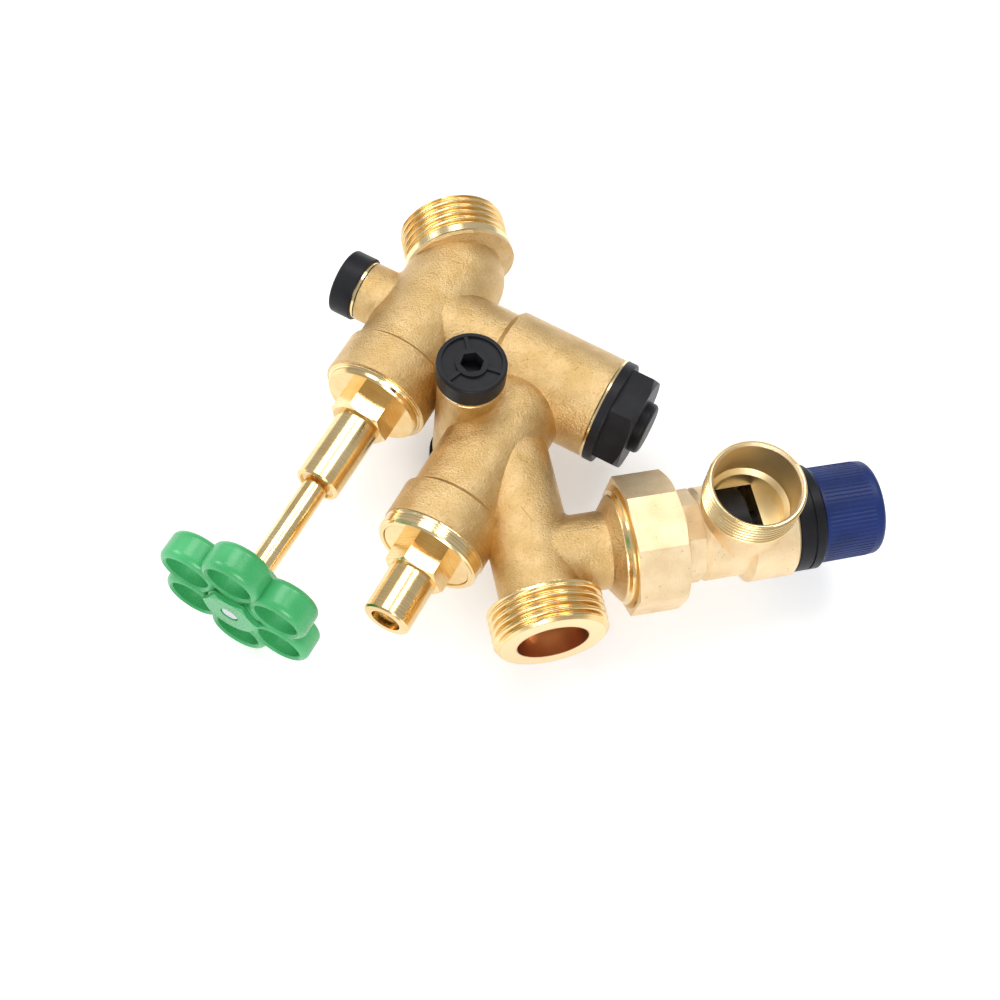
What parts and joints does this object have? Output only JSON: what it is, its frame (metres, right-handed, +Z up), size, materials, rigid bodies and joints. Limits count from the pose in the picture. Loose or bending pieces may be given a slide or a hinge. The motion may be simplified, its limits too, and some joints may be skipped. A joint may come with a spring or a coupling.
{
  "type": "safety valve group",
  "caption": "Brass inlet group for a water heater: angled stop valve with handwheel, check valve, service valve, plugged gauge ports and a side safety valve.",
  "frame": {"origin": "centre of the outlet face, on the main run's axis", "axes": "+Y along the main run from the outlet to the inlet, +X towards the safety valve, +Z up, square to the plane that holds all the branches, the way the safety valve's outlet points"},
  "size_m": [0.2039, 0.145, 0.0574],
  "materials": {
    "cast_brass": "sand cast skin, machined ends",
    "turned_brass": "turned, bright",
    "blasted_brass": "fine blasted, satin",
    "rubber": "matte elastomer",
    "fibre_gasket": "pressed fibre sheet",
    "green_plastic": "moulded, gloss",
    "black_plastic": "moulded, gloss",
    "white_plastic": "moulded, matte",
    "blue_plastic": "moulded, fine ribs",
    "spring_steel": "stainless, drawn"
  },
  "bodies": {
    "valve": {"valve_body": "cast_brass", "stop_bonnet": "turned_brass", "stop_bonnet_gasket": "fibre_gasket", "stop_gland_bush": "turned_brass", "stop_gland_ring_1": "rubber", "stop_gland_ring_2": "rubber", "service_bonnet": "turned_brass", "service_bonnet_gasket": "fibre_gasket", "check_sleeve": "white_plastic", "check_guide": "white_plastic", "check_spring": "spring_steel", "check_cap": "black_plastic", "check_cap_ring": "rubber", "test_plug": "black_plastic", "test_plug_ring": "rubber", "gauge_plug_front": "black_plastic", "gauge_plug_front_ring": "rubber", "gauge_plug_back": "black_plastic", "gauge_plug_back_ring": "rubber"},
    "stop_disc": {"stop_disc_seal": "rubber", "stop_seal_screw": "turned_brass", "stop_disc_holder": "turned_brass", "stop_holder_ring": "turned_brass"},
    "stop_wheel": {"stop_spindle": "turned_brass", "handwheel": "green_plastic", "handwheel_screw": "spring_steel"},
    "service_disc": {"service_disc_seal": "rubber", "service_seal_screw": "turned_brass", "service_disc_holder": "turned_brass", "service_holder_ring": "turned_brass"},
    "service_stem": {"service_spindle": "turned_brass", "service_spindle_ring": "rubber"},
    "check_disc": {"check_poppet": "white_plastic", "check_poppet_seal": "rubber"},
    "union_seal": {"union_gasket": "fibre_gasket"},
    "safety_valve": {"safety_body": "blasted_brass", "safety_bonnet": "black_plastic", "safety_diaphragm": "rubber", "safety_adjuster": "turned_brass", "safety_spring": "spring_steel"},
    "union_ring": {"union_nut": "blasted_brass"},
    "safety_disc": {"safety_disc_seal": "rubber", "safety_disc_carrier": "black_plastic", "safety_spring_cup": "turned_brass", "safety_spindle": "turned_brass", "safety_lift_nut": "turned_brass"},
    "twist_cap": {"safety_cap": "blue_plastic"}
  },
  "joints": [
    {"name": "stop_lift", "type": "slide", "parent": "valve", "child": "stop_disc", "axis": [-0.6428, -0.766, 0], "range_m": [-0.01, 0]},
    {"name": "stop_turn", "type": "hinge", "parent": "stop_disc", "child": "stop_wheel", "pos_m": [0, 0.127, 0], "axis": [-0.6428, -0.766, 0], "range_deg": [-1200.1, 0.1]},
    {"name": "service_lift", "type": "slide", "parent": "valve", "child": "service_disc", "axis": [-0.6428, -0.766, 0], "range_m": [-0.007, 0]},
    {"name": "service_turn", "type": "hinge", "parent": "service_disc", "child": "service_stem", "pos_m": [0, 0.0677, 0], "axis": [-0.6428, -0.766, 0], "range_deg": [-1008.1, 0.1]},
    {"name": "check_lift", "type": "slide", "parent": "valve", "child": "check_disc", "axis": [0.766, -0.6428, 0], "range_m": [0, 0.005], "stiffness_N_per_m": 60, "springref_m": -0.004, "deforming": ["check_spring"]},
    {"name": "union_draw", "type": "slide", "parent": "valve", "child": "union_seal", "axis": [1, 0, 0], "range_m": [0, 0.005]},
    {"name": "safety_swivel", "type": "hinge", "parent": "union_seal", "child": "safety_valve", "pos_m": [0, 0.0252, 0], "axis": [1, 0, 0], "continuous": true},
    {"name": "union_nut_turn", "type": "hinge", "parent": "safety_valve", "child": "union_ring", "pos_m": [0.026, 0.0252, 0], "axis": [1, 0, 0], "range_deg": [-0.1, 779.7]},
    {"name": "safety_lift", "type": "slide", "parent": "safety_valve", "child": "safety_disc", "axis": [1, 0, 0], "range_m": [0, 0.0025], "stiffness_N_per_m": 2000, "springref_m": -0.004, "deforming": ["safety_spring"]},
    {"name": "safety_cap_turn", "type": "hinge", "parent": "safety_valve", "child": "twist_cap", "pos_m": [0.0834, 0.0252, 0], "axis": [1, 0, 0], "range_deg": [-0.1, 60.1]}
  ],
  "couplings": [
    {"joint": "stop_turn", "follows": "stop_lift", "rad_per_m": 2094.4},
    {"joint": "service_turn", "follows": "service_lift", "rad_per_m": 2513.3},
    {"joint": "union_nut_turn", "follows": "union_draw", "rad_per_m": 2721.2},
    {"joint": "safety_cap_turn", "follows": "safety_lift", "rad_per_m": 418.88}
  ]
}
